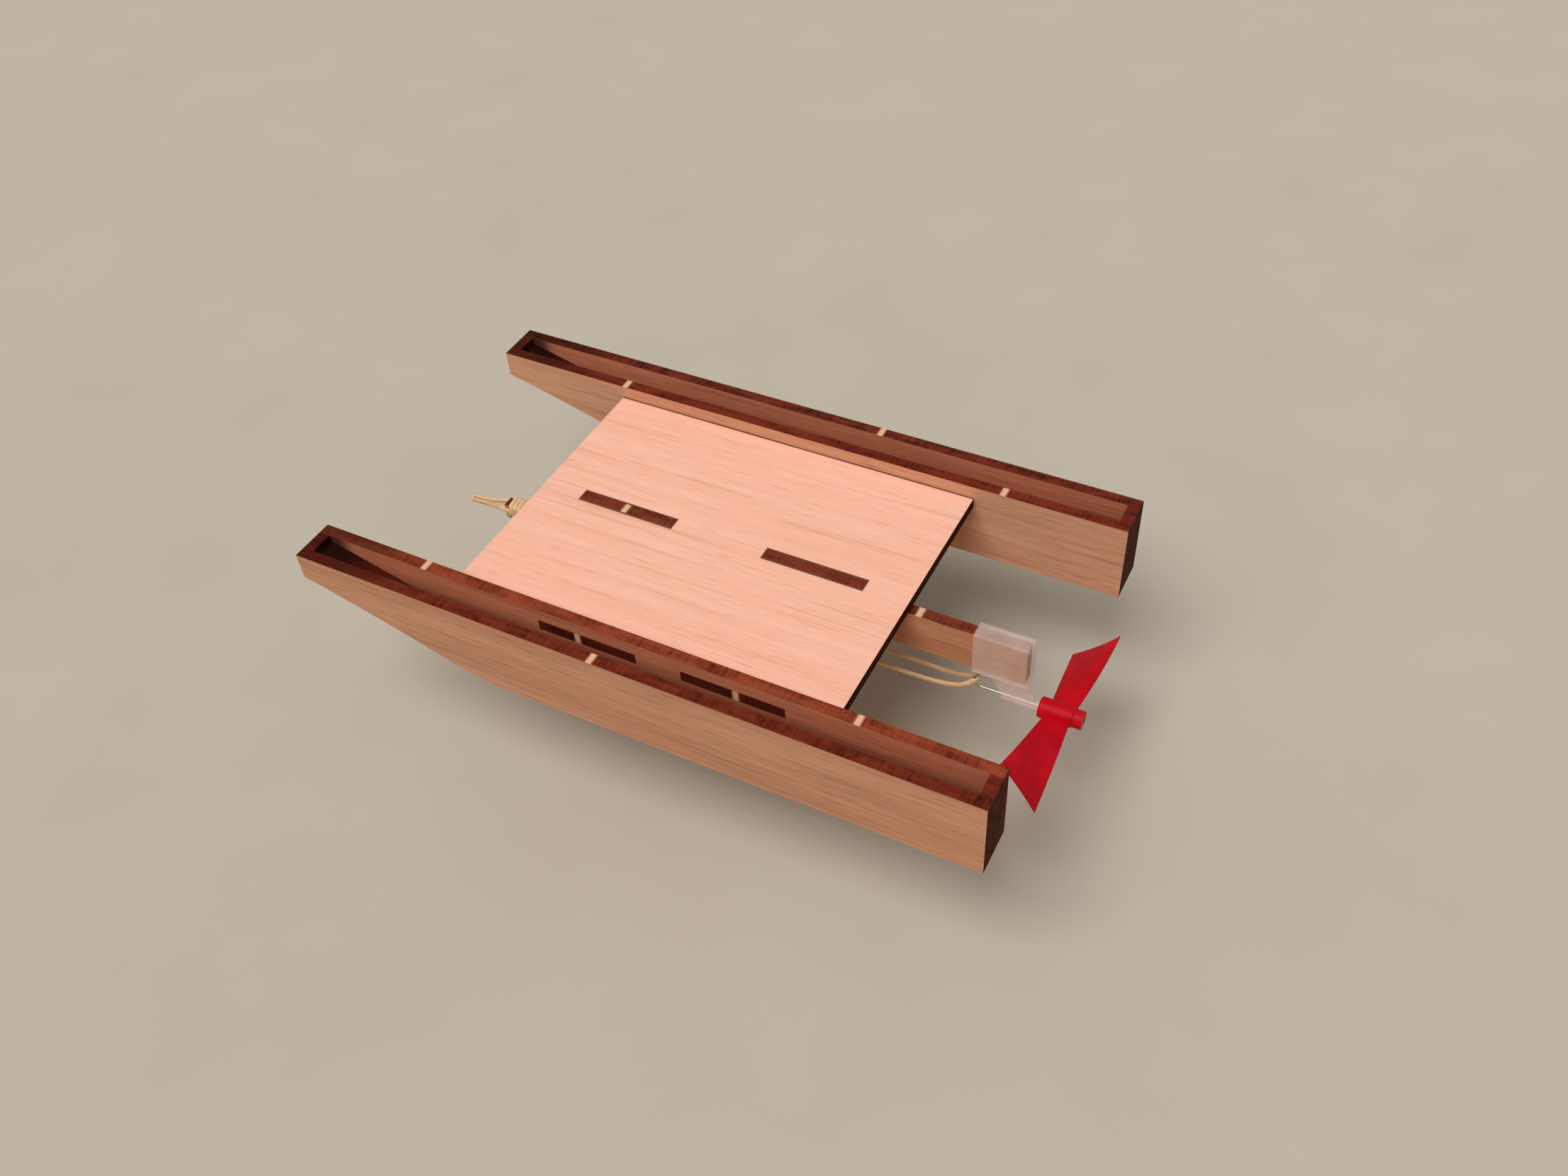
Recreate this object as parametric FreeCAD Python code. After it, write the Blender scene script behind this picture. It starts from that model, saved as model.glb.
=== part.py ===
import FreeCAD, Part
import math
import os

# A small catamaran driven by a wound rubber band. Two open pontoons and a deck are cut from
# one sheet of wood. A motor stick hangs under the deck; a plastic hanger on its aft end
# carries a wire shaft with a two-bladed propeller.
#
# Frame: origin at the middle of the deck's top face, +X to the bow, +Y to port, +Z up.
# All sizes are in millimetres.

V = FreeCAD.Vector

# ---- the sheet that every wooden piece is cut from ----
SHEET = 5.0                 # thickness of the sheet
TAB_GAP = 0.1               # gap round a tab in its slot

# ---- deck ----
DECK_LENGTH = 170.5
SIDE_TAB_LENGTH = 44.0      # tabs that pass through the pontoons' inner sides
SIDE_TAB_STARTS = (-66.0, -2.0)
STICK_TAB_LENGTH = 44.0     # tabs of the motor stick that pass up through the deck
STICK_TAB_MIDDLES = (-43.5, 43.5)

# ---- pontoons ----
TUNNEL_WIDTH = 129.0        # clear width between the two pontoons
TROUGH_WIDTH = 10.0         # clear width inside a pontoon
HULL_LENGTH = 300.0
HULL_HEIGHT = 37.0
STERN_OVERHANG = 65.25      # from the stern to the deck's aft edge
SIDE_RISE = 5.8             # the sides' top edges stand this far over the deck
BOTTOM_THICKNESS = 2 * SHEET    # two layers of the sheet
BOW_HEIGHT = 12.3           # height of the upright bow end
RAMP_LENGTH = 100.0         # length of the bow's upswept bottom
KEEL_CURVE_RUN = 0.33       # share of the ramp's length in its first, upward curve
KEEL_CURVE_RISE = 0.22      # share of the ramp's rise in that curve

# ---- motor stick ----
STICK_HEIGHT = 18.5
STICK_AFT_OVERHANG = 49.3   # past the deck's aft edge
STICK_FORE_OVERHANG = 24.0  # past the deck's forward edge
NOSE_LENGTH = 27.0          # length over which the stick is cut away above the finger
FINGER_LENGTH = 13.0        # straight finger that the band is wound on
FINGER_HEIGHT = 4.0
LUG_LENGTH = 2.0            # lug under the tip that keeps the wound band from slipping off
LUG_DROP = 3.2

# ---- propeller shaft ----
SHAFT_AXIS_Z = -36.1
WIRE_RADIUS = 0.5
RUNNING_GAP = 0.05          # radial clearance of the wire in its bearing and in the hub
HOOK_RADIUS = 3.4           # centreline radius of the hook's bend
HOOK_GAP = 9.0              # from the bearing's forward end to the start of the hook
HOOK_CLEAR = 2.0            # from the hanger's web to the start of the hook
DRIVE_END_LENGTH = 2.6      # the bent aft end that lies in the hub's slot

# ---- prop hanger ----
HANGER_WALL = 1.5
SLEEVE_GAP = 0.1            # gap between the sleeve and the stick
SLEEVE_LENGTH = 21.5        # depth of the sleeve over the stick
SLEEVE_CORNER = 1.2         # outside corner radius
WEB_THICKNESS = 1.6
BEARING_RADIUS = 2.1
BEARING_LENGTH = 15.0
BEARING_OVERHANG = 4.2      # the bearing's aft end stands this far behind the sleeve

# ---- propeller ----
PROP_RADIUS = 49.7          # axis to the outer, aft corner of a blade
PROP_FRONT_RADIUS = 42.0    # the blade's forward corner, measured along the blade
PROP_TURN = 176.1           # how far the first blade is turned from +Y at rest, in degrees
BLADE_THICKNESS = 1.3
BLADE_EDGE = 0.5
BLADE_SCALE = 50.0          # unit length of the blade's edge curves
FRONT_EDGE_X = (6.2, 4.8, 0.0)      # forward edge: distance ahead of the hub's middle
FRONT_EDGE_T = (0.1, 15.5, 4.4)     # forward edge: offset across the blade
BACK_EDGE_X = (-3.2, -5.3, 2.1)
BACK_EDGE_T = (-0.1, 10.1, -4.9)
BLADE_CAMBER = 1.2          # hollow of the blade's face at the tip
BLADE_STATIONS = (0.0, 0.18, 0.4, 0.62, 0.82, 1.0)
BLADE_ROOT = 2.2            # radius at which a blade starts, inside the hub
HUB_RADIUS = 4.3
HUB_FRONT = 9.85            # hub face ahead of the hub's middle
HUB_BACK = -4.1
BOSS_RADIUS = 3.8
BOSS_LENGTH = 3.8
HUB_EDGE = 0.6
THRUST_GAP = 0.3            # between the bearing and the hub

# ---- rubber band ----
BAND_WIDTH = 2.0
BAND_THICKNESS = 1.1
BAND_TURNS = 4              # turns wound on the finger
BAND_PITCH = 2.3            # spacing of those turns
BAND_CLEAR = 0.3            # the band's clearance from wood and wire
BAND_HOOK_SPREAD = 1.4      # half spacing of the strands where the band turns round the hook
BAND_DIP_Z = -38.4          # lowest centreline of the slack strands
BIGHT_LENGTH = 19.0         # loose end of the loop that hangs forward of the finger
BIGHT_SPREAD = 1.0          # half spacing of its two strands
BIGHT_DROP = 3.2

# ---- places worked out from the sizes ----
STERN_X = -DECK_LENGTH / 2 - STERN_OVERHANG
BOW_X = STERN_X + HULL_LENGTH
TOP_Z = SIDE_RISE
KEEL_Z = TOP_Z - HULL_HEIGHT
INNER_Y = TUNNEL_WIDTH / 2
TROUGH_Y = INNER_Y + SHEET
OUTER_Y = TROUGH_Y + TROUGH_WIDTH
STICK_TOP = -SHEET
STICK_BOTTOM = STICK_TOP - STICK_HEIGHT
STICK_AFT = -DECK_LENGTH / 2 - STICK_AFT_OVERHANG
STICK_TIP = DECK_LENGTH / 2 + STICK_FORE_OVERHANG
SLEEVE_AFT = STICK_AFT - SLEEVE_GAP - HANGER_WALL
SLEEVE_FORE = STICK_AFT + SLEEVE_LENGTH
SLEEVE_BOTTOM = STICK_BOTTOM - SLEEVE_GAP - HANGER_WALL
BEARING_AFT = SLEEVE_AFT - BEARING_OVERHANG
BEARING_FORE = BEARING_AFT + BEARING_LENGTH
HUB_X = BEARING_AFT - THRUST_GAP - HUB_FRONT
FINGER_TOP = STICK_BOTTOM + FINGER_HEIGHT
TURNS_START = STICK_TIP - LUG_LENGTH - BAND_TURNS * BAND_PITCH
SIDE_STRAND_Y = SHEET / 2 + BAND_CLEAR + BAND_THICKNESS / 2


def box(x0, x1, y0, y1, z0, z1):
    """A box given by its six sides."""
    return Part.makeBox(x1 - x0, y1 - y0, z1 - z0, V(x0, y0, z0))


def tangent_arc(start, heading, end):
    """Arc in the XZ plane that leaves start at the angle heading and reaches end."""
    chord = end - start
    bearing = math.atan2(chord.z, chord.x)
    sagitta = chord.Length / 2 * math.tan((bearing - heading) / 2)
    middle = (start + end) * 0.5 + V(math.sin(bearing), 0, -math.cos(bearing)) * sagitta
    return Part.Arc(start, middle, end).toShape(), 2 * bearing - heading


def bottom_curve(inset):
    """The upswept bottom of a pontoon, moved inwards by inset, as its two arcs."""
    start = V(BOW_X - RAMP_LENGTH, 0, KEEL_Z)
    end = V(BOW_X, 0, TOP_Z - BOW_HEIGHT)
    rise = end.z - start.z
    joint = start + V(RAMP_LENGTH * KEEL_CURVE_RUN, 0, rise * KEEL_CURVE_RISE)
    _, joint_angle = tangent_arc(start, 0, joint)
    _, end_angle = tangent_arc(joint, joint_angle, end)

    def inwards(point, angle):
        return point + V(-math.sin(angle), 0, math.cos(angle)) * inset

    first, _ = tangent_arc(inwards(start, 0), 0, inwards(joint, joint_angle))
    second, _ = tangent_arc(inwards(joint, joint_angle), joint_angle, inwards(end, end_angle))
    return first, second


def polyline(points):
    """Straight edges through points in the XZ plane."""
    corners = [V(x, 0, z) for x, z in points]
    return [Part.LineSegment(a, b).toShape() for a, b in zip(corners, corners[1:])]


def slab(edges, y0, y1):
    """The flat shape inside edges, in the XZ plane, made a solid from y0 to y1."""
    face = Part.Face(Part.Wire(Part.__sortEdges__(edges)))
    face.translate(V(0, y0, 0))
    return face.extrude(V(0, y1 - y0, 0))


def hull_slab(y0, y1):
    """The pontoon's whole side outline as a solid from y0 to y1."""
    first, second = bottom_curve(0)
    keel_corner = first.Vertexes[0].Point
    bow_corner = second.Vertexes[-1].Point
    edges = polyline([(keel_corner.x, keel_corner.z), (STERN_X, KEEL_Z), (STERN_X, TOP_Z),
                      (BOW_X, TOP_Z), (bow_corner.x, bow_corner.z)])
    return slab(edges + [first, second], y0, y1)


def across(x0, x1):
    """A box from x0 to x1 that covers the pontoon's full height and the trough's width."""
    return box(x0, x1, TROUGH_Y, OUTER_Y, KEEL_Z - SHEET, TOP_Z + SHEET)


def make_inner_side():
    """Inner side of the port pontoon, with mortises for the deck's tabs."""
    side = hull_slab(INNER_Y, TROUGH_Y)
    for start in SIDE_TAB_STARTS:
        side = side.cut(box(start - TAB_GAP, start + SIDE_TAB_LENGTH + TAB_GAP,
                            INNER_Y - SHEET, TROUGH_Y + SHEET, -SHEET - TAB_GAP, TAB_GAP))
    return side


def make_outer_side():
    return hull_slab(OUTER_Y, OUTER_Y + SHEET)


def make_transom():
    return hull_slab(TROUGH_Y, OUTER_Y).common(across(STERN_X, STERN_X + SHEET))


def make_bow_plate():
    return hull_slab(TROUGH_Y, OUTER_Y).common(across(BOW_X - SHEET, BOW_X))


def make_bottom():
    """The floor of a pontoon, between its sides, its transom and its bow plate."""
    low_first, low_second = bottom_curve(0)
    top_first, top_second = bottom_curve(BOTTOM_THICKNESS)
    low_start, low_end = low_first.Vertexes[0].Point, low_second.Vertexes[-1].Point
    top_start, top_end = top_first.Vertexes[0].Point, top_second.Vertexes[-1].Point
    aft_end = polyline([(top_start.x, top_start.z), (STERN_X, top_start.z),
                        (STERN_X, KEEL_Z), (low_start.x, low_start.z)])
    fore_end = polyline([(low_end.x, low_end.z), (top_end.x, top_end.z)])
    plank = slab([low_first, low_second, top_first, top_second] + aft_end + fore_end,
                 TROUGH_Y, OUTER_Y)
    return plank.common(across(STERN_X + SHEET, BOW_X - SHEET))


def make_deck():
    """The deck; its top face between the pontoons stays a face apart from its tabs' tops."""
    deck = box(-DECK_LENGTH / 2, DECK_LENGTH / 2, -INNER_Y, INNER_Y, -SHEET, 0)
    for start in SIDE_TAB_STARTS:
        deck = deck.fuse(box(start, start + SIDE_TAB_LENGTH, -TROUGH_Y, TROUGH_Y, -SHEET, 0))
    half = STICK_TAB_LENGTH / 2 + TAB_GAP
    for middle in STICK_TAB_MIDDLES:
        deck = deck.cut(box(middle - half, middle + half, -SHEET / 2 - TAB_GAP,
                            SHEET / 2 + TAB_GAP, -2 * SHEET, SHEET))
    return deck


def make_motor_stick():
    """Upright plank under the deck: two tabs on top, a low finger with a lug at the nose."""
    nose_start = STICK_TIP - NOSE_LENGTH
    finger_start = STICK_TIP - FINGER_LENGTH
    lug_start = STICK_TIP - LUG_LENGTH
    stick = slab(polyline([(STICK_AFT, STICK_BOTTOM), (lug_start, STICK_BOTTOM),
                           (lug_start, STICK_BOTTOM - LUG_DROP),
                           (STICK_TIP, STICK_BOTTOM - LUG_DROP),
                           (STICK_TIP, FINGER_TOP), (finger_start, FINGER_TOP),
                           (nose_start, STICK_TOP),
                           (STICK_AFT, STICK_TOP), (STICK_AFT, STICK_BOTTOM)]),
                 -SHEET / 2, SHEET / 2)
    for middle in STICK_TAB_MIDDLES:
        half = STICK_TAB_LENGTH / 2
        stick = stick.fuse(box(middle - half, middle + half, -SHEET / 2, SHEET / 2,
                               STICK_TOP, 0))
    return stick.removeSplitter()


def make_prop_hanger():
    """Sleeve over the stick's aft end, a web under it and the shaft's bearing tube."""
    half_in = SHEET / 2 + SLEEVE_GAP
    half_out = half_in + HANGER_WALL
    sleeve = box(SLEEVE_AFT, SLEEVE_FORE, -half_out, half_out, SLEEVE_BOTTOM,
                 STICK_TOP + SLEEVE_GAP + HANGER_WALL)
    long_edges = [e for e in sleeve.Edges if abs(e.Vertexes[0].X - e.Vertexes[-1].X) > SHEET]
    aft_edges = [e for e in sleeve.Edges if max(v.X for v in e.Vertexes) < SLEEVE_AFT + 0.01]
    sleeve = sleeve.makeFillet(SLEEVE_CORNER, long_edges + aft_edges)
    pocket = box(STICK_AFT - SLEEVE_GAP, SLEEVE_FORE + SHEET, -half_in, half_in,
                 STICK_BOTTOM - SLEEVE_GAP, STICK_TOP + SLEEVE_GAP)

    foot = SLEEVE_BOTTOM + SLEEVE_CORNER
    web_fore = BEARING_FORE + HOOK_GAP - HOOK_CLEAR
    web = slab(polyline([(SLEEVE_AFT + SLEEVE_CORNER, foot), (web_fore, foot),
                         (web_fore, SLEEVE_BOTTOM), (BEARING_FORE, SHAFT_AXIS_Z),
                         (BEARING_AFT + 1, SHAFT_AXIS_Z),
                         (SLEEVE_AFT + SLEEVE_CORNER, foot)]),
               -WEB_THICKNESS / 2, WEB_THICKNESS / 2)
    start = V(BEARING_AFT, 0, SHAFT_AXIS_Z)
    tube = Part.makeCylinder(BEARING_RADIUS, BEARING_LENGTH, start, V(1, 0, 0))
    bore = Part.makeCylinder(WIRE_RADIUS + RUNNING_GAP, BEARING_LENGTH + 2 * SHEET,
                             start - V(SHEET, 0, 0), V(1, 0, 0))
    return sleeve.fuse(web).fuse(tube).cut(pocket).cut(bore).removeSplitter()


def hook_places():
    """Start of the hook's bend, and the bend's foremost point, on the wire's centreline."""
    bend = V(BEARING_FORE + HOOK_GAP, 0, SHAFT_AXIS_Z)
    return bend, bend + V(HOOK_RADIUS, 0, HOOK_RADIUS)


def make_prop_shaft():
    """Bent wire: hook at the forward end, straight shaft, short drive end behind the hub."""
    bend, foremost = hook_places()
    aft = HUB_X + HUB_BACK - BOSS_LENGTH + WIRE_RADIUS
    corner = 2 * WIRE_RADIUS
    back = V(aft, 0, SHAFT_AXIS_Z)
    top = bend + V(0, 0, 2 * HOOK_RADIUS)
    turn = math.radians(45)
    path = [
        Part.LineSegment(back + V(0, 0, -DRIVE_END_LENGTH), back + V(0, 0, -corner)).toShape(),
        Part.Arc(back + V(0, 0, -corner),
                 back + V(corner * (1 - math.cos(turn)), 0, -corner * (1 - math.sin(turn))),
                 back + V(corner, 0, 0)).toShape(),
        Part.LineSegment(back + V(corner, 0, 0), bend).toShape(),
        Part.Arc(bend, foremost, top).toShape(),
        Part.LineSegment(top, top - V(HOOK_RADIUS / 2, 0, 0)).toShape(),
    ]
    section = Part.Wire(Part.makeCircle(WIRE_RADIUS, back + V(0, 0, -DRIVE_END_LENGTH),
                                        V(0, 0, 1)))
    return Part.Wire(path).makePipeShell([section], True, False)


def edge_value(terms, along):
    """Value of a blade edge's curve at the distance along the blade."""
    share = along / BLADE_SCALE
    return terms[0] + terms[1] * share + terms[2] * share ** 2


def blade_section(share):
    """Cambered section between the blade's two edges, as a closed wire."""
    front_r = BLADE_ROOT + (PROP_FRONT_RADIUS - BLADE_ROOT) * share
    back_r = BLADE_ROOT + (PROP_RADIUS - BLADE_ROOT) * share
    front = V(edge_value(FRONT_EDGE_X, front_r), front_r, edge_value(FRONT_EDGE_T, front_r))
    back = V(edge_value(BACK_EDGE_X, back_r), back_r, edge_value(BACK_EDGE_T, back_r))
    normal = (front - back).cross(V(0, 1, 0)).normalize()
    middle = (front + back) * 0.5 + normal * (BLADE_CAMBER * share)
    edge = normal * (BLADE_EDGE / 2)
    body = normal * (BLADE_THICKNESS / 2)
    upper = Part.Arc(front + edge, middle + body, back + edge).toShape()
    lower = Part.Arc(back - edge, middle - body, front - edge).toShape()
    return Part.Wire([upper, Part.LineSegment(back + edge, back - edge).toShape(),
                      lower, Part.LineSegment(front - edge, front + edge).toShape()])


def make_propeller():
    """Two twisted blades on a hub whose aft boss is slotted for the wire's drive end."""
    blade = Part.makeLoft([blade_section(share) for share in BLADE_STATIONS], True, False)
    other = blade.copy()
    other.rotate(V(0, 0, 0), V(1, 0, 0), 180)
    hub = Part.makeCylinder(HUB_RADIUS, HUB_FRONT - HUB_BACK, V(HUB_BACK, 0, 0), V(1, 0, 0))
    hub = hub.makeFillet(HUB_EDGE, [e for e in hub.Edges if e.Curve.TypeId.endswith("Circle")])
    boss = Part.makeCylinder(BOSS_RADIUS, BOSS_LENGTH, V(HUB_BACK - BOSS_LENGTH, 0, 0),
                             V(1, 0, 0))
    prop = hub.fuse(boss).fuse(blade).fuse(other)
    prop.rotate(V(0, 0, 0), V(1, 0, 0), PROP_TURN)
    prop.translate(V(HUB_X, 0, SHAFT_AXIS_Z))

    aft = HUB_X + HUB_BACK - BOSS_LENGTH
    bore = Part.makeCylinder(WIRE_RADIUS + RUNNING_GAP, HULL_LENGTH,
                             V(aft - SHEET, 0, SHAFT_AXIS_Z), V(1, 0, 0))
    slot_half = WIRE_RADIUS + RUNNING_GAP
    slot = box(aft - SHEET, aft + 3 * WIRE_RADIUS, -slot_half, slot_half,
               SHAFT_AXIS_Z - BOSS_RADIUS - 1, SHAFT_AXIS_Z)
    return prop.cut(bore).cut(slot).removeSplitter()


def band_section(x, y, z):
    """The band's cross-section, standing upright across the boat."""
    t, w = BAND_THICKNESS / 2, BAND_WIDTH / 2
    corners = [V(x, y - t, z - w), V(x, y + t, z - w), V(x, y + t, z + w), V(x, y - t, z + w)]
    return Part.makePolygon(corners + corners[:1])


def strand_route():
    """Points on the centreline of one slack strand, from the hook forward to the nose."""
    _, foremost = hook_places()
    nose = V(TURNS_START + BAND_PITCH / 2, SIDE_STRAND_Y, STICK_BOTTOM + BAND_WIDTH / 2)
    run = nose.x - foremost.x
    sink = foremost.z - BAND_DIP_Z
    rise = nose.z - BAND_DIP_Z
    dip = [V(foremost.x + run * share, SIDE_STRAND_Y * spread, foremost.z - sink * fall)
           for share, spread, fall in ((0.012, 0.62, 0.42), (0.035, 0.75, 0.9),
                                       (0.08, 0.9, 1.0), (0.16, 1.0, 1.0))]
    climb = [V(foremost.x + run * share, SIDE_STRAND_Y, BAND_DIP_Z + rise * height)
             for share, height in ((0.3, 0.08), (0.5, 0.28), (0.7, 0.54), (0.86, 0.78))]
    return [V(foremost.x, BAND_HOOK_SPREAD, foremost.z)] + dip + climb + [nose]


def band_u_turn(x, half_width, z, sweep):
    """Half ring in which the band turns round a wire or the tip."""
    profile = Part.Face(band_section(x, half_width, z))
    return profile.revolve(V(x, 0, z), V(0, 0, 1), sweep)


def make_rubber_band():
    """Slack loop from the hook to the finger, the turns wound there and the loose end."""
    route = strand_route()
    parts = []
    for side in (1, -1):
        sections = [band_section(point.x, side * point.y, point.z) for point in route]
        parts.append(Part.makeLoft(sections, True, True))
    parts.append(band_u_turn(route[0].x, route[0].y, route[0].z, 180))

    half_in = SIDE_STRAND_Y - BAND_THICKNESS / 2
    half_out = SIDE_STRAND_Y + BAND_THICKNESS / 2
    low = STICK_BOTTOM - BAND_CLEAR
    for turn in range(BAND_TURNS):
        start = TURNS_START + BAND_PITCH * turn + (BAND_PITCH - BAND_WIDTH) / 2
        end = start + BAND_WIDTH
        high = FINGER_TOP + BAND_CLEAR
        ring = box(start, end, -half_out, half_out, low - BAND_THICKNESS, high + BAND_THICKNESS)
        parts.append(ring.cut(box(start - 1, end + 1, -half_in, half_in, low, high)))

    middle = (STICK_BOTTOM + FINGER_TOP) / 2
    reach = STICK_TIP + BIGHT_LENGTH
    bight = [(TURNS_START, SIDE_STRAND_Y, middle), (STICK_TIP, SIDE_STRAND_Y, middle)]
    narrowing = SIDE_STRAND_Y - BIGHT_SPREAD
    bight += [(STICK_TIP + BIGHT_LENGTH * share, SIDE_STRAND_Y - narrowing * near,
               middle - BIGHT_DROP * fall)
              for share, near, fall in ((0.25, 0.72, 0.4), (0.5, 0.95, 0.7), (1, 1, 1))]
    for side in (1, -1):
        sections = [band_section(x, side * y, z) for x, y, z in bight]
        parts.append(Part.makeLoft(sections, True, True))
    parts.append(band_u_turn(reach, BIGHT_SPREAD, middle - BIGHT_DROP, -180))
    band = parts[0]
    for piece in parts[1:]:
        band = band.fuse(piece)
    return band.removeSplitter()


def port_and_starboard(make):
    """A pontoon piece for the port side and its mirror image for the starboard side."""
    port = make()
    return {"port": port, "starboard": port.mirror(V(0, 0, 0), V(0, 1, 0))}


def make_parts():
    parts = {}
    pontoon = {"inner_side": make_inner_side, "outer_side": make_outer_side,
               "bottom": make_bottom, "transom": make_transom, "bow_plate": make_bow_plate}
    for piece, make in pontoon.items():
        for side, shape in port_and_starboard(make).items():
            parts[side + "_" + piece] = shape
    parts["deck"] = make_deck()
    parts["motor_stick"] = make_motor_stick()
    parts["prop_hanger"] = make_prop_hanger()
    parts["prop_shaft"] = make_prop_shaft()
    parts["propeller"] = make_propeller()
    parts["rubber_band"] = make_rubber_band()
    return parts


os.makedirs("parts", exist_ok=True)
for node, shape in make_parts().items():
    shape.exportStep("parts/" + node + ".step")
    size = shape.BoundBox
    print(node, "solids", len(shape.Solids), "valid", shape.isValid(),
          "volume", round(shape.Volume, 1),
          "x", round(size.XMin, 1), round(size.XMax, 1),
          "y", round(size.YMin, 1), round(size.YMax, 1),
          "z", round(size.ZMin, 1), round(size.ZMax, 1))
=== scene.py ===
import math

import bmesh
import bpy
from mathutils import Matrix, Vector


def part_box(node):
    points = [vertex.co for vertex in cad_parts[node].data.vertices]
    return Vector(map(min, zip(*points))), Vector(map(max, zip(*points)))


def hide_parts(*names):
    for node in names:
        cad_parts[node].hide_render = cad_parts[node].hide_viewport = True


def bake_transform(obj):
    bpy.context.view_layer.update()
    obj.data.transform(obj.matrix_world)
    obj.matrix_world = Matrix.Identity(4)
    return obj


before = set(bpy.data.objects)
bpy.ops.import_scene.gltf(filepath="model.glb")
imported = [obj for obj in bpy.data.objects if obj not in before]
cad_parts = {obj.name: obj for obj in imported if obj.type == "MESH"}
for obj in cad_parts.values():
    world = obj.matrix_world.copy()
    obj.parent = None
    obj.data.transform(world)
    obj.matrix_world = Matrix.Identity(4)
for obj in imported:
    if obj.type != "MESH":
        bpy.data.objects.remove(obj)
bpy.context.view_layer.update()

# A laser-cut wooden catamaran with a rubber band motor. +X is the bow, +Y port, +Z up, and the
# origin is the middle of the deck's top face. Lengths are in millimetres until MM or mm()
# turns them to metres.

MM = 0.001


def mm(*values):
    """Millimetres to a vector in metres."""
    return Vector(values) * MM


def node_box(name):
    """Lowest and highest corner of a CAD node, in millimetres."""
    low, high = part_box(name)
    return low / MM, high / MM


# ---- colours, as sRGB hex values ----
# planed basswood: pale wood, deeper wood, dark pore lines
DECK_WOOD = ("#FCC2A9", "#F1B297", "#C48A69")
# painted shade: the deck's basswood, drawn darker for the sides' upright faces
SHADED_SIDE_WOOD = ("#D39B7B", "#B98061", "#7C4D34")
# painted light: a paler copy for the starboard inner side, lifting the shade it gets beside the
# deck
LESS_SHADED_SIDE_WOOD = ("#DCA483", "#C38A69", "#865539")
STICK_WOOD = ("#CB8E6C", "#AE704F", "#76452D")
# painted shade: the sides' faces inside the troughs, darker and redder than the same wood
# outside
TROUGH_SHADED_WOOD = ("#CE8260", "#B5694A", "#7C3F2B")
# laser-cut edges: light scorch, dark scorch, soot
LIGHT_CHAR = ("#97452A", "#6C2B18", "#4E1E12")
# dark scorch, also used for painted shade low on the trough walls and on the trough floors
DEEP_CHAR_AND_SHADE = ("#7A2E1B", "#541B10", "#310F09")
DECK_CHAR = ("#5E2114", "#40140B", "#260A05")
ROUGH_CHAR = ("#76301E", "#45180F", "#1C0A07")
STICK_CHAR = ("#803823", "#5C2413", "#38140C")
END_CHAR = ("#54281C", "#2F130E", "#1A0A07")
# painted shade: the floor inside the troughs
FLOOR_SHADE = "#48160E"
# near black: soot on the cut edges towards the bow, and painted shade in the bow pockets
BOW_SOOT_AND_SHADE = "#220803"
NUB_PALE = "#F0BE98"
PROP_RED = "#C90019"
PROP_RED_DEEP = "#AE0014"
HANGER_MILKY = "#FFE6D8"
HANGER_CLOUD = "#F0CDBC"
WIRE_BRIGHT = "#C9C2B4"
WIRE_DARK = "#9A9386"
BAND_TAN = "#EDCDA0"
BAND_TAN_DEEP = "#CFA26C"
FLOOR_PALE = "#C1B8A7"
FLOOR_DEEP = "#BBB1A0"


def linear(hex_colour):
    """An sRGB hex value as a linear colour with full alpha."""
    channels = [int(hex_colour[i:i + 2], 16) / 255 for i in (1, 3, 5)]
    return [c / 12.92 if c <= 0.04045 else ((c + 0.055) / 1.055) ** 2.4
            for c in channels] + [1.0]


# ---- materials ----
def feed(tree, socket, value):
    """Gives an input its value: a number, a hex colour, an output or a node.

    A node stands for its first output in use, and None leaves the input as it is.
    """
    if isinstance(value, bpy.types.Node):
        value = next(output for output in value.outputs if output.enabled)
    if isinstance(value, str):
        value = linear(value)
    if isinstance(value, bpy.types.NodeSocket):
        tree.links.new(value, socket)
    elif value is not None:
        socket.default_value = value


def add_node(tree, kind, *values, **settings):
    """Adds a shader node with its settings; values go to its inputs in use, in their order."""
    node = tree.nodes.new("ShaderNode" + kind)
    for name, setting in settings.items():
        setattr(node, name, setting)
    inputs = [socket for socket in node.inputs if socket.enabled]
    for socket, value in zip(inputs, values):
        feed(tree, socket, value)
    return node


def new_material(name):
    """An empty material: itself, its tree, its shader and the surface's own coordinates."""
    material = bpy.data.materials.new(name)
    material.use_nodes = True
    tree = material.node_tree
    place = add_node(tree, "TexCoord").outputs["Object"]
    return material, tree, tree.nodes["Principled BSDF"], place


def finish_surface(tree, shader, values, relief, strength, depth):
    """Gives a shader its values by name, and a fine relief that is depth millimetres deep."""
    for name, value in values.items():
        feed(tree, shader.inputs[name], value)
    bump = add_node(tree, "Bump", strength, depth * MM, None, relief)
    feed(tree, shader.inputs["Normal"], bump)


def flecks(tree, place, lengths, detail=2.0, roughness=0.5, seed=0.0):
    """A noise pattern whose flecks measure lengths, in millimetres along X, Y and Z."""
    scale = [1.0 / (length * MM) for length in lengths]
    stretched = add_node(tree, "Mapping", place, (seed, seed, seed), None, scale)
    return add_node(tree, "TexNoise", stretched, 1.0, detail, roughness)


def tint(tree, colour, new_colour, pattern, low, high, strength=1.0):
    """Turns a colour smoothly to a new one as a pattern rises from low to high."""
    share = add_node(tree, "MapRange", pattern, low, high, 0.0, strength,
                     interpolation_type="SMOOTHSTEP")
    return add_node(tree, "Mix", share, colour, new_colour, data_type="RGBA")


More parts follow.
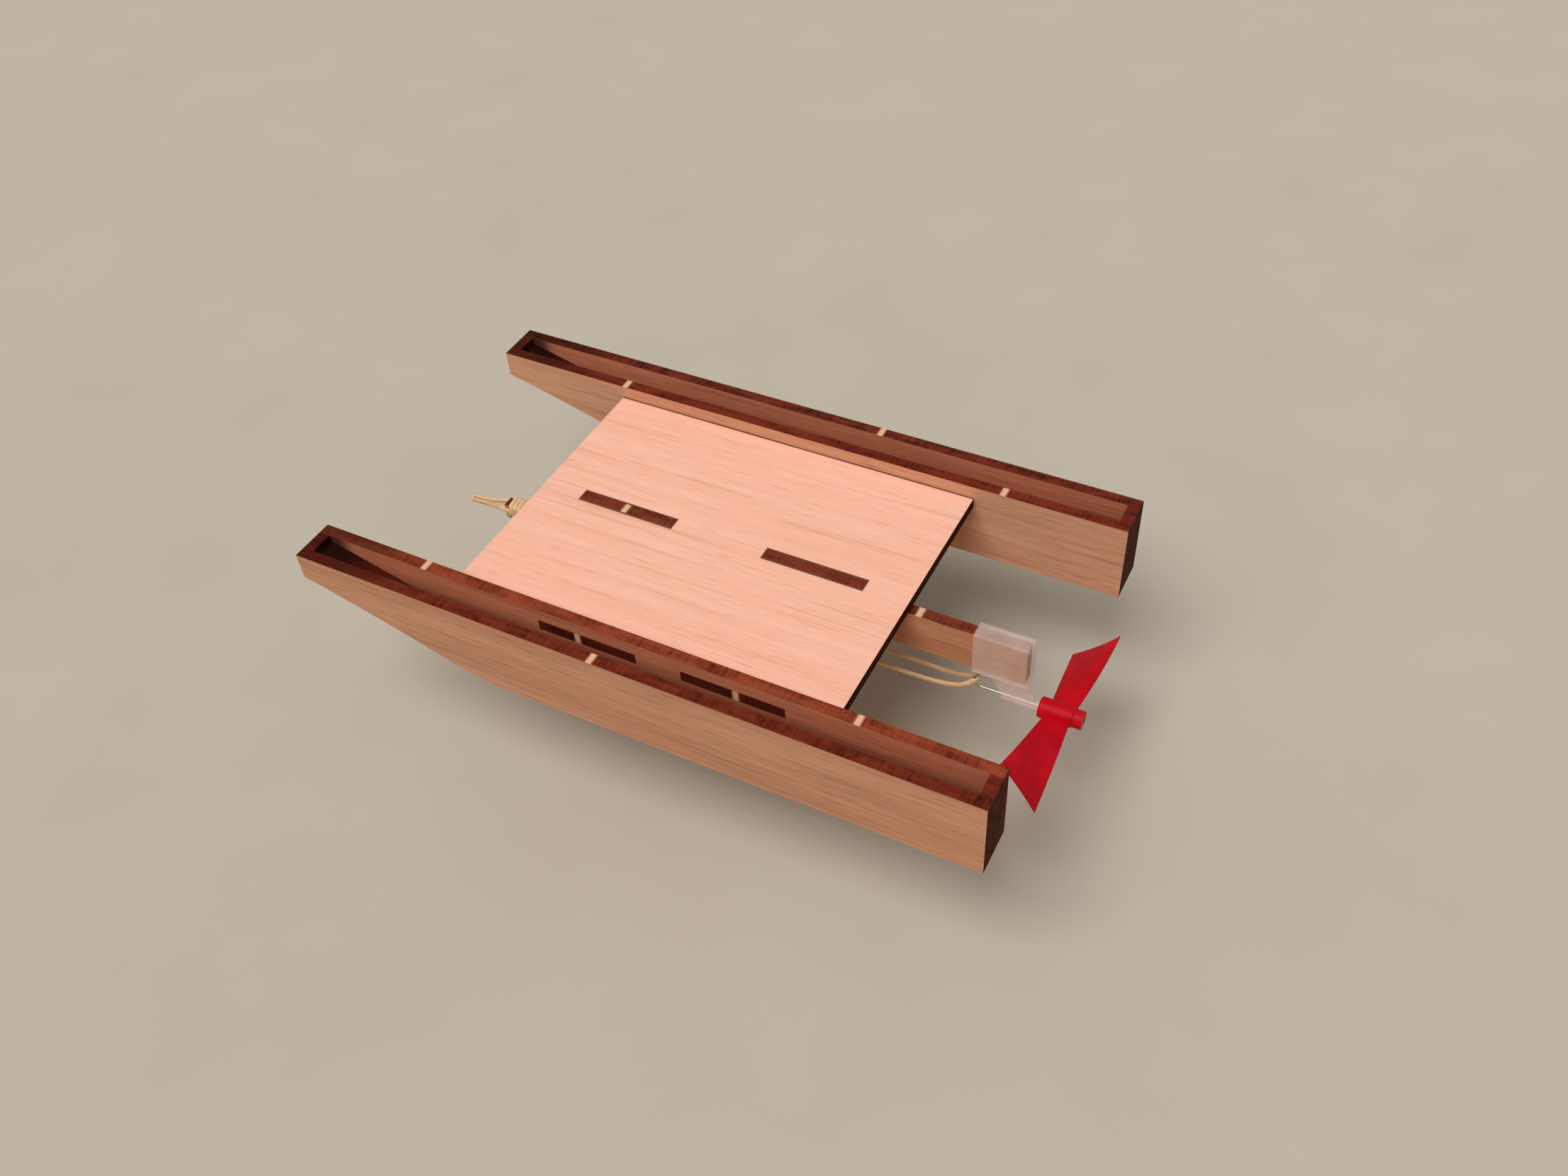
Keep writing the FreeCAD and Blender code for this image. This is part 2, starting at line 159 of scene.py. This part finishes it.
def overlay(tree, first, first_range, second, second_range, share):
    """A share of the first pattern over the rest of the second, each spread over its range."""
    first = add_node(tree, "MapRange", first, *first_range, interpolation_type="SMOOTHSTEP")
    second = add_node(tree, "MapRange", second, *second_range, interpolation_type="SMOOTHSTEP")
    return add_node(tree, "Mix", share, second, first)


# ---- wood ----
AXES = {"X": 0, "Y": 1, "Z": 2}
TILT_LIMIT = 0.6             # a face looks along an axis when more of its direction does
TROUGH_TILT_LIMIT = 0.3      # the same in the troughs, with room for the ramp at the bow

NUB_CORE = 0.54 * MM         # half the length of a pale nub mark, without its faded ends
NUB_REACH = 1.89 * MM        # and with them
NUB_STRENGTH = 0.85

# the deck's slots, with a thin scorch round them, and its sides, with a thin line of scorch and
# painted crease shade
SLOT_MIDDLE = 43.5 * MM      # from the deck's middle
SLOT_HALF_LENGTH = 22.0 * MM
SLOT_HALF_WIDTH = 2.6 * MM
DECK_HALF_WIDTH = node_box("port_inner_side")[0].y * MM
RIM_CORE = 0.45 * MM         # width of the scorch and painted shade, without its faded side
RIM_REACH = 1.1 * MM         # and with it

# stretches over which the pontoons darken: towards the bow, as soot on the cut edges and as
# painted shade in the bow pockets, and down into the trough, as painted shade
EDGE_SOOT = (85 * MM, 130 * MM)
WALL_BOW_SHADE = (131 * MM, 141 * MM)
FLOOR_BOW_SHADE = (118 * MM, 138 * MM)
END_BOW_SHADE = (92 * MM, 142 * MM)
WALL_SHADE = (1 * MM, -12 * MM)


def read_surface(tree, place):
    """Where a point of the surface lies, and which way it looks, each as X, Y and Z."""
    normal = add_node(tree, "TexCoord").outputs["Normal"]
    at = add_node(tree, "SeparateXYZ", place).outputs
    way = add_node(tree, "SeparateXYZ", normal).outputs
    return at, way


def planed_face(tree, place, wood, seed):
    """Colour of planed basswood, with its fibres' relief.

    A broad soft figure, straight fibres about 1 mm wide, and short dark pore lines along X.
    Real basswood pores are finer than 0.1 mm, so they are drawn five times coarser here.
    """
    pale, deep, pore = wood
    figure = flecks(tree, place, (210, 9, 9), detail=3.0, roughness=0.6, seed=seed)
    fibres = flecks(tree, place, (34, 0.9, 0.9), detail=3.0, roughness=0.6, seed=seed)
    pores = flecks(tree, place, (16, 0.5, 0.5), detail=1.0, seed=seed + 7)
    growth = flecks(tree, place, (120, 2.6, 2.6), seed=seed + 13)
    body = overlay(tree, figure, (0.3, 0.7), fibres, (0.3, 0.7), 0.5)
    colour = add_node(tree, "Mix", body, deep, pale, data_type="RGBA")
    colour = tint(tree, colour, pore, growth, 0.55, 0.72, 0.3)
    return tint(tree, colour, pore, pores, 0.6, 0.74, 0.4), fibres


def charred_face(tree, place, char, through, seed):
    """Colour of a laser-cut edge, with its relief: scorch in ribs that run through the sheet."""
    light, dark, soot = char
    rib_lengths = [1.1, 1.1, 1.1]
    rib_lengths[AXES[through]] = 10.0
    ribs = flecks(tree, place, rib_lengths, seed=seed)
    blotches = flecks(tree, place, (15, 3.5, 5), detail=3.0, roughness=0.6, seed=seed + 3)
    depth = overlay(tree, ribs, (0.35, 0.66), blotches, (0.36, 0.64), 0.4)
    colour = add_node(tree, "Mix", depth, light, dark, data_type="RGBA")
    # soot lies only where deep ribs meet deep blotches
    sooty_ribs = add_node(tree, "MapRange", ribs, 0.48, 0.74, interpolation_type="SMOOTHSTEP")
    sooty = add_node(tree, "MapRange", blotches, 0.48, 0.68, 0.0, sooty_ribs,
                     interpolation_type="SMOOTHSTEP")
    return add_node(tree, "Mix", sooty, colour, soot, data_type="RGBA"), ribs


def nub_marks(tree, along, nubs):
    """The share of pale wood where a piece was snapped from the bridges that held it."""
    marks = 0.0
    for nub in nubs:
        off = add_node(tree, "Math", along, nub * MM, operation="SUBTRACT")
        off = add_node(tree, "Math", off, operation="ABSOLUTE")
        mark = add_node(tree, "MapRange", off, NUB_CORE, NUB_REACH, NUB_STRENGTH, 0.0,
                        interpolation_type="SMOOTHSTEP")
        marks = add_node(tree, "Math", mark, marks, operation="MAXIMUM")
    return marks


def deck_rims(tree, colour, scorch, at):
    """Draws the thin scorch round the deck's two slots, and scorch and painted crease shade
    along its sides.
    """
    across = add_node(tree, "Math", at["Y"], operation="ABSOLUTE")
    along = add_node(tree, "Math", at["X"], operation="ABSOLUTE")
    along = add_node(tree, "Math", along, SLOT_MIDDLE, operation="SUBTRACT")
    along = add_node(tree, "Math", along, operation="ABSOLUTE")
    past_end = add_node(tree, "Math", along, SLOT_HALF_LENGTH, operation="SUBTRACT")
    past_side = add_node(tree, "Math", across, SLOT_HALF_WIDTH, operation="SUBTRACT")
    from_slot = add_node(tree, "Math", past_end, past_side, operation="MAXIMUM")
    from_edge = add_node(tree, "Math", DECK_HALF_WIDTH, across, operation="SUBTRACT")
    gap = add_node(tree, "Math", from_slot, from_edge, operation="MINIMUM")
    # the share runs just below 0, which counts as 0, so that the scorch and painted shade end a
    # little sooner
    share = add_node(tree, "MapRange", gap, RIM_CORE, RIM_REACH, 0.9, -0.1,
                     interpolation_type="SMOOTHSTEP")
    return add_node(tree, "Mix", share, colour, scorch, data_type="RGBA")


def finish_sheet(tree, shader, through, planed, fibres, burnt, ribs):
    """Shows planed wood on a sheet's faces and burnt wood where the laser cut through it.

    through is the surface's direction along the sheet's thickness. The cut has more tooth.
    """
    cut = add_node(tree, "Math", through, 0.0, TILT_LIMIT, operation="COMPARE")
    colour = add_node(tree, "Mix", cut, planed, burnt, data_type="RGBA")
    dull = add_node(tree, "Math", cut, 0.2, 0.6, operation="MULTIPLY_ADD")
    tooth = add_node(tree, "Math", ribs, cut, operation="MULTIPLY")
    tooth = add_node(tree, "Math", tooth, 1.2, operation="MULTIPLY")
    relief = add_node(tree, "Math", fibres, 0.6, tooth, operation="MULTIPLY_ADD")
    finish_surface(tree, shader,
                   {"Base Color": colour, "Roughness": dull, "Specular IOR Level": 0.06},
                   relief, strength=0.35, depth=0.25)


def basswood(name, sheet, wood, char, seed, nubs, nub_axis="Z", trough=0, rims=False):
    """Laser-cut basswood sheet: planed faces with a fine straight grain and scorched edges.

    sheet is the axis of the sheet's thickness: faces that look along it are planed, and all
    others were cut by the laser. nubs are the pale bridge marks' places along X, on faces that
    look along nub_axis. trough is the sign of the planed face that looks into a pontoon's
    trough, which is painted darker and redder there as shade, near black towards the bow.
    rims draws the scorch round the deck's slots, and scorch with painted shade in the crease
    along its edges.
    """
    material, tree, shader, place = new_material(name)
    at, way = read_surface(tree, place)

    planed, fibres = planed_face(tree, place, wood, seed)
    if trough:
        # painted shade: the trough face darker and redder, darker down into the trough, near
        # black towards the bow
        trough_shaded, _ = planed_face(tree, place, TROUGH_SHADED_WOOD, seed)
        trough_shaded = tint(tree, trough_shaded, DEEP_CHAR_AND_SHADE[1], at["Z"], *WALL_SHADE, 0.35)
        trough_shaded = tint(tree, trough_shaded, BOW_SOOT_AND_SHADE, at["X"], *WALL_BOW_SHADE, 0.85)
        # the face's direction is within reach of the trough's sign
        inward = add_node(tree, "Math", way[sheet], trough, 1 - TROUGH_TILT_LIMIT,
                          operation="COMPARE")
        planed = add_node(tree, "Mix", inward, planed, trough_shaded, data_type="RGBA")
    if rims:
        planed = deck_rims(tree, planed, char[1], at)

    burnt, ribs = charred_face(tree, place, char, sheet, seed)
    end_grain = add_node(tree, "Math", way["X"], operation="ABSOLUTE")
    end_grain = add_node(tree, "Math", end_grain, TILT_LIMIT, operation="GREATER_THAN")
    end_grain = add_node(tree, "Math", end_grain, 0.7, operation="MULTIPLY")
    burnt = add_node(tree, "Mix", end_grain, burnt, END_CHAR[1], data_type="RGBA")
    burnt = tint(tree, burnt, BOW_SOOT_AND_SHADE, at["X"], *EDGE_SOOT, 0.6)
    facing = add_node(tree, "Math", way[nub_axis], TILT_LIMIT, operation="GREATER_THAN")
    marks = add_node(tree, "Math", nub_marks(tree, at["X"], nubs), facing,
                     operation="MULTIPLY")
    burnt = add_node(tree, "Mix", marks, burnt, NUB_PALE, data_type="RGBA")

    finish_sheet(tree, shader, way[sheet], planed, fibres, burnt, ribs)
    return material


def trough_floor_basswood(name, seed):
    """A pontoon's bottom: planed wood outside, and inside painted dark brown as shade, black at
    the bow.
    """
    material, tree, shader, place = new_material(name)
    at, way = read_surface(tree, place)
    planed, fibres = planed_face(tree, place, SHADED_SIDE_WOOD, seed)
    burnt, ribs = charred_face(tree, place, DEEP_CHAR_AND_SHADE, "Z", seed)
    # painted shade: dark brown inside the trough, black towards the bow
    inside = tint(tree, FLOOR_SHADE, DEEP_CHAR_AND_SHADE[1], fibres, 0.4, 0.7, 0.4)
    inside = tint(tree, inside, BOW_SOOT_AND_SHADE, at["X"], *FLOOR_BOW_SHADE)
    facing_up = add_node(tree, "Math", way["Z"], TROUGH_TILT_LIMIT, operation="GREATER_THAN")
    planed = add_node(tree, "Mix", facing_up, planed, inside, data_type="RGBA")
    finish_sheet(tree, shader, way["Z"], planed, fibres, burnt, ribs)
    return material


def scorched_end_basswood(name, seed):
    """A pontoon's end: scorched on every face, darkest on the upright ones, with streaks; the
    bow plates are darkened towards black as painted shade of the bow pocket.
    """
    material, tree, shader, place = new_material(name)
    at, way = read_surface(tree, place)
    upright, ribs = charred_face(tree, place, END_CHAR, "Z", seed)
    top, _ = charred_face(tree, place, DEEP_CHAR_AND_SHADE, "X", seed)
    facing_up = add_node(tree, "Math", way["Z"], TILT_LIMIT, operation="GREATER_THAN")
    colour = add_node(tree, "Mix", facing_up, upright, top, data_type="RGBA")
    # painted shade: the bow plates darkened towards black in the bow pocket
    colour = tint(tree, colour, BOW_SOOT_AND_SHADE, at["X"], *END_BOW_SHADE, 0.55)
    finish_surface(tree, shader,
                   {"Base Color": colour, "Roughness": 0.8, "Specular IOR Level": 0.06},
                   ribs, strength=0.35, depth=0.45)
    return material


# ---- plastics, wire and rubber ----
def moulded_polystyrene_red():
    """Injection-moulded polystyrene: even crimson with a soft gloss and a faint mould skin."""
    material, tree, shader, place = new_material("moulded_polystyrene_red")
    flow = flecks(tree, place, (9, 16, 9))
    skin = flecks(tree, place, (0.8, 0.8, 0.8))
    colour = tint(tree, PROP_RED_DEEP, PROP_RED, flow, 0.3, 0.7)
    finish_surface(tree, shader,
                   {"Base Color": colour, "Roughness": 0.48, "Specular IOR Level": 0.12},
                   skin, strength=0.12, depth=0.1)
    return material


def moulded_polypropylene_clear():
    """Natural polypropylene: milky and half see-through, so the stick shows in the sleeve."""
    material, tree, shader, place = new_material("moulded_polypropylene_clear")
    cloud = flecks(tree, place, (7, 5, 5))
    ripple = flecks(tree, place, (3, 2, 2), detail=1.0)
    colour = tint(tree, HANGER_CLOUD, HANGER_MILKY, cloud, 0.3, 0.7)
    finish_surface(tree, shader,
                   {"Base Color": colour, "Roughness": 0.3, "IOR": 1.49, "Alpha": 0.26},
                   ripple, strength=0.15, depth=0.2)
    return material


def drawn_spring_steel():
    """Drawn spring wire: bright steel with fine lines along the draw."""
    material, tree, shader, place = new_material("drawn_spring_steel")
    lines = flecks(tree, place, (12, 0.3, 0.3))
    colour = tint(tree, WIRE_DARK, WIRE_BRIGHT, lines, 0.3, 0.7)
    sheen = add_node(tree, "Math", lines, 0.16, 0.24, operation="MULTIPLY_ADD")
    finish_surface(tree, shader,
                   {"Base Color": colour, "Roughness": sheen, "Metallic": 1.0},
                   lines, strength=0.1, depth=0.05)
    return material


def cut_natural_rubber():
    """Natural rubber strip: pale tan and matt, with faint streaks from the knife along it."""
    material, tree, shader, place = new_material("cut_natural_rubber")
    patch = flecks(tree, place, (14, 3, 3))
    knife = flecks(tree, place, (22, 0.4, 0.4), detail=1.0)
    share = overlay(tree, patch, (0.3, 0.7), knife, (0.35, 0.65), 0.6)
    colour = add_node(tree, "Mix", share, BAND_TAN_DEEP, BAND_TAN, data_type="RGBA")
    finish_surface(tree, shader,
                   {"Base Color": colour, "Roughness": 0.55, "IOR": 1.52,
                    "Subsurface Weight": 0.3, "Subsurface Scale": 1.5 * MM},
                   knife, strength=0.2, depth=0.1)
    return material


def dress(node, material):
    """Gives a CAD node its material."""
    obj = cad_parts[node]
    obj.data.materials.clear()
    obj.data.materials.append(material)


# piece: wood, scorch, places of its pale nubs along X, sign of the face in the trough
SIDES = {
    "port_inner_side": (SHADED_SIDE_WOOD, LIGHT_CHAR, [-94.9, 96.5], 1),
    "port_outer_side": (SHADED_SIDE_WOOD, DEEP_CHAR_AND_SHADE, [8.5], -1),
    "starboard_inner_side": (LESS_SHADED_SIDE_WOOD, DEEP_CHAR_AND_SHADE, [-97.5, 84.1], -1),
    "starboard_outer_side": (SHADED_SIDE_WOOD, ROUGH_CHAR, [-35.5], 1),
}
DECK_NUBS = [-45.5, 24.1]
STICK_NUBS = [-89.5, 44.5]

# the seeds shift each piece's grain
for order, (side, (wood, char, nubs, trough)) in enumerate(SIDES.items()):
    dress(side, basswood(f"basswood_{side}", "Y", wood, char, 11.3 * order, nubs,
                         trough=trough))
for order, pontoon in enumerate(("port", "starboard")):
    dress(f"{pontoon}_bottom", trough_floor_basswood(f"basswood_{pontoon}_bottom",
                                                     60.0 + order))
    for end in ("transom", "bow_plate"):
        dress(f"{pontoon}_{end}", scorched_end_basswood(f"basswood_{pontoon}_{end}",
                                                        70.0 + order))
dress("deck", basswood("basswood_deck", "Z", DECK_WOOD, DECK_CHAR, 0.0, DECK_NUBS,
                       nub_axis="Y", rims=True))
dress("motor_stick", basswood("basswood_motor_stick", "Y", STICK_WOOD, STICK_CHAR, 90.0,
                              STICK_NUBS))
dress("prop_hanger", moulded_polypropylene_clear())
dress("prop_shaft", drawn_spring_steel())
dress("propeller", moulded_polystyrene_red())


# ---- rubber band: one closed strip, doubled from the hook to the stick's finger ----
STRIP_WIDTH = 1.85
STRIP_THICKNESS = 1.1
STRIP_CORNER = 0.25
STRAND_Y = 3.35              # from the middle to each strand, just clear of the stick
PORT = 1                     # sides, as signs of Y
STARBOARD = -1

_, shaft_high = node_box("prop_shaft")
WIRE_RADIUS = 0.5
HOOK_X = shaft_high.x - WIRE_RADIUS
HOOK_Z = -32.7
HOOK_BEND_RADIUS = 1.4       # centreline of the strip round the wire

_, stick_high = node_box("motor_stick")
FINGER_HALF_WIDTH = 3.35     # centreline of the strip round the finger
FINGER_HALF_HEIGHT = 2.85
FINGER_Z = -21.5
WIND_START = stick_high.x - 10.6     # the turns begin this far behind the finger's tip
WIND_PITCH = 4.0
WIND_TURNS = 2
TURN_STEPS = 16              # places in each turn
TURN_SQUARENESS = 0.4        # 1 winds a round turn, and less a squarer one
TURN_FLATNESS = 4            # how soon the strip lies flat on a side after a corner

_, band_high = node_box("rubber_band")
BIGHT_BEND_RADIUS = 1.0      # of the loose end's tip
BIGHT_END = band_high.x - BIGHT_BEND_RADIUS - STRIP_THICKNESS / 2
BIGHT_Z = -24.6
BEND_STEPS = 4
SAMPLES = 6                  # points of the smooth curve from one place to the next


def slack_strand(side):
    """Places of one strand between the hook and the finger; the port one sags lower.

    Each is a share of the way to the finger, a share of the strand's usual Y, and a height.
    """
    sag = 1.0 if side == PORT else 0.0
    shape = [(0.02, 0.66, -35.2 - sag), (0.05, 0.82, -37.0 - sag), (0.11, 0.98, -37.6 - sag),
             (0.2, 1.0, -37.2 - 0.9 * sag), (0.34, 0.94, -36.2 - 0.7 * sag),
             (0.5, 1.0, -34.0 - 0.5 * sag), (0.68, 1.0, -30.6 - 0.3 * sag),
             (0.85, 1.0, -26.6), (0.95, 1.0, -23.4)]
    run = WIND_START - HOOK_X
    return [(Vector((HOOK_X + run * share, side * STRAND_Y * spread, z)), Vector((0, side, 0)))
            for share, spread, z in shape]


def signed_power(value, power):
    """A power of a value's size, with the value's own sign."""
    return math.copysign(abs(value) ** power, value)


def wound_turns(side):
    """Places of one strand where it is wound in rounded oblongs round the finger."""
    places = []
    start = 0 if side == PORT else math.pi
    for step in range(TURN_STEPS * WIND_TURNS + 1):
        angle = start + 2 * math.pi * step / TURN_STEPS
        x = WIND_START + WIND_PITCH * step / TURN_STEPS
        y = signed_power(math.cos(angle), TURN_SQUARENESS)
        z = signed_power(math.sin(angle), TURN_SQUARENESS)
        flat = Vector((0, signed_power(y, TURN_FLATNESS), signed_power(z, TURN_FLATNESS)))
        places.append((Vector((x, y * FINGER_HALF_WIDTH, FINGER_Z + z * FINGER_HALF_HEIGHT)),
                       flat.normalized()))
    return places


def loose_end(side):
    """Places of one strand in the loose end that points forward from the finger.

    Each is a share of the way to the end, a distance from the middle, and a height.
    """
    start = WIND_START + WIND_PITCH * WIND_TURNS
    run = BIGHT_END - start
    shape = [(0.14, 3.2, -21.9), (0.3, 2.2, -22.6), (0.55, 1.35, -23.6), (0.8, 1.05, -24.3)]
    return [(Vector((start + run * share, side * y, z)), Vector((0, side, 0)))
            for share, y, z in shape]


def half_bend(centre, radius, forward):
    """Places round a half circle in plan; forward is 1 for the bow end and -1 for the hook."""
    places = []
    for step in range(BEND_STEPS + 1):
        angle = math.pi * (step / BEND_STEPS - 0.5)
        out = Vector((forward * math.cos(angle), forward * -math.sin(angle), 0))
        places.append((centre + out * radius, out))
    return places


def closed_route():
    """The whole strip's places, in order, each with the direction its flat side looks."""
    port, starboard = (slack_strand(side) + wound_turns(side) + loose_end(side)
                       for side in (PORT, STARBOARD))
    hook = half_bend(Vector((HOOK_X, 0, HOOK_Z)), HOOK_BEND_RADIUS, -1)
    bow = half_bend(Vector((BIGHT_END, 0, BIGHT_Z)), BIGHT_BEND_RADIUS, 1)
    return hook + port + bow + starboard[::-1]


def smooth_places(route):
    """The closed route with points filled in by a Catmull-Rom curve."""
    places = []
    for i in range(len(route)):
        near = [route[(i + k) % len(route)] for k in (-1, 0, 1, 2)]
        for step in range(SAMPLES):
            t = step / SAMPLES
            weights = (-t + 2 * t ** 2 - t ** 3, 2 - 5 * t ** 2 + 3 * t ** 3,
                       t + 4 * t ** 2 - 3 * t ** 3, t ** 3 - t ** 2)
            places.append([sum((p[k] * w for p, w in zip(near, weights)), Vector()) / 2
                           for k in (0, 1)])
    return places


def strip_frames(places):
    """A matrix for the strip's section at each place: X across, Y through, Z along."""
    frames = []
    for i, (point, flat) in enumerate(places):
        along = (places[(i + 1) % len(places)][0] - places[i - 1][0]).normalized()
        through = (flat - along * flat.dot(along)).normalized()
        turn = Matrix((through.cross(along), through, along)).transposed()
        frames.append(Matrix.Translation(point * MM) @ turn.to_4x4())
    return frames


def new_piece(name, bm):
    """An object in the scene, made from a bmesh."""
    mesh = bpy.data.meshes.new(name)
    bm.to_mesh(mesh)
    bm.free()
    piece = bpy.data.objects.new(name, mesh)
    bpy.context.scene.collection.objects.link(piece)
    return piece


def make_band():
    """The rubber band: its section is drawn once and extruded from place to place."""
    frames = strip_frames(smooth_places(closed_route()))
    bm = bmesh.new()
    bmesh.ops.create_grid(bm, x_segments=1, y_segments=1, size=0.5)
    bmesh.ops.scale(bm, vec=(STRIP_WIDTH * MM, STRIP_THICKNESS * MM, 1), verts=bm.verts)
    bmesh.ops.bevel(bm, geom=bm.verts[:], offset=STRIP_CORNER * MM, affect="VERTICES",
                    segments=2, profile=0.5, material=-1)
    bmesh.ops.delete(bm, geom=bm.faces[:], context="FACES_ONLY")
    bmesh.ops.transform(bm, matrix=frames[0], verts=bm.verts)
    first_ring = ring = bm.edges[:]
    for before, after in zip(frames, frames[1:]):
        made = bmesh.ops.extrude_edge_only(bm, edges=ring)["geom"]
        ring = [edge for edge in made if isinstance(edge, bmesh.types.BMEdge)
                and all(vert in made for vert in edge.verts)]
        verts = [vert for vert in made if isinstance(vert, bmesh.types.BMVert)]
        bmesh.ops.transform(bm, matrix=after @ before.inverted(), verts=verts)
    bmesh.ops.bridge_loops(bm, edges=first_ring + ring)
    bmesh.ops.recalc_face_normals(bm, faces=bm.faces)
    for face in bm.faces:
        face.smooth = True
    return new_piece("band", bm)


band = make_band()
band.data.materials.append(cut_natural_rubber())
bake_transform(band)
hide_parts("rubber_band")


# ---- floor, light and camera ----
FLOOR_HALF_SIZE = 6.0        # metres
BLADE_CLEARANCE = 1.0        # between the floor and the blades when they point straight down

LAMP_PLACE = (0.2, 0.62, 1.2)        # metres; a sun lamp, so only its direction counts
LAMP_TARGET = mm(0, 0, -15)
LAMP_SOFTNESS = 40                   # degrees
LAMP_POWER = 2.28
WORLD_POWER = 0.36
WORLD_WHITE = "#FFFDFA"

CAMERA_PLACE = mm(-242.3, 365.4, 409.0)
CAMERA_TARGET = mm(-32.4, 5.8, -10.0)
CAMERA_ROLL = -4.24                  # degrees
CAMERA_LENS = 33.7
SENSOR_WIDTH = 36.0
NEAREST_SEEN = 0.01                  # metres


def matt_floor():
    """Plain matt board: pale, with hardly any mottling."""
    material, tree, shader, place = new_material("matt_board")
    mottle = flecks(tree, place, (60, 60, 60))
    colour = add_node(tree, "Mix", mottle, FLOOR_DEEP, FLOOR_PALE, data_type="RGBA")
    feed(tree, shader.inputs["Base Color"], colour)
    feed(tree, shader.inputs["Roughness"], 0.9)
    feed(tree, shader.inputs["Specular IOR Level"], 0.1)
    return material


def make_floor(height):
    """A wide flat floor under the object."""
    bm = bmesh.new()
    bmesh.ops.create_grid(bm, x_segments=1, y_segments=1, size=FLOOR_HALF_SIZE)
    bmesh.ops.translate(bm, vec=(0, 0, height), verts=bm.verts)
    floor = new_piece("floor", bm)
    floor.data.materials.append(matt_floor())


def place_in_scene(name, data, place, target, roll=0.0):
    """Puts a lamp or the camera at place, looking at target, turned by roll degrees."""
    obj = bpy.data.objects.new(name, data)
    bpy.context.scene.collection.objects.link(obj)
    way = (target - place).to_track_quat("-Z", "Y").to_matrix().to_4x4()
    turn = Matrix.Rotation(math.radians(roll), 4, "Z")
    obj.matrix_world = Matrix.Translation(place) @ way @ turn
    return obj


def make_lamp():
    """A wide far lamp overhead: even light over the whole floor, with soft shadows."""
    lamp = bpy.data.lights.new("key", "SUN")
    lamp.angle = math.radians(LAMP_SOFTNESS)
    lamp.energy = LAMP_POWER
    place_in_scene("key", lamp, Vector(LAMP_PLACE), LAMP_TARGET)


def make_world():
    """Even white surroundings, seen as a pale backdrop in the colour of the floor."""
    world = bpy.data.worlds.new("surroundings")
    world.use_nodes = True
    tree = world.node_tree
    rays = add_node(tree, "LightPath").outputs
    seen = add_node(tree, "Math", rays["Is Camera Ray"], rays["Is Glossy Ray"],
                    operation="MAXIMUM")
    seen = add_node(tree, "Math", seen, rays["Is Transmission Ray"], operation="MAXIMUM")
    colour = add_node(tree, "Mix", seen, WORLD_WHITE, FLOOR_PALE, data_type="RGBA")
    power = add_node(tree, "Mix", seen, WORLD_POWER, 1.0)
    background = tree.nodes["Background"]
    feed(tree, background.inputs["Color"], colour)
    feed(tree, background.inputs["Strength"], power)
    bpy.context.scene.world = world


def make_camera():
    """Above the port quarter, a little over half a metre from the deck."""
    camera = bpy.data.cameras.new("camera")
    camera.sensor_width = SENSOR_WIDTH
    camera.lens = CAMERA_LENS
    camera.clip_start = NEAREST_SEEN
    bpy.context.scene.camera = place_in_scene("camera", camera, CAMERA_PLACE, CAMERA_TARGET,
                                              CAMERA_ROLL)


blade_low, blade_high = node_box("propeller")
shaft_height = (blade_low.z + blade_high.z) / 2
make_floor((shaft_height - blade_high.y - BLADE_CLEARANCE) * MM)
make_world()
make_lamp()
make_camera()
bpy.context.scene.view_settings.view_transform = "Standard"
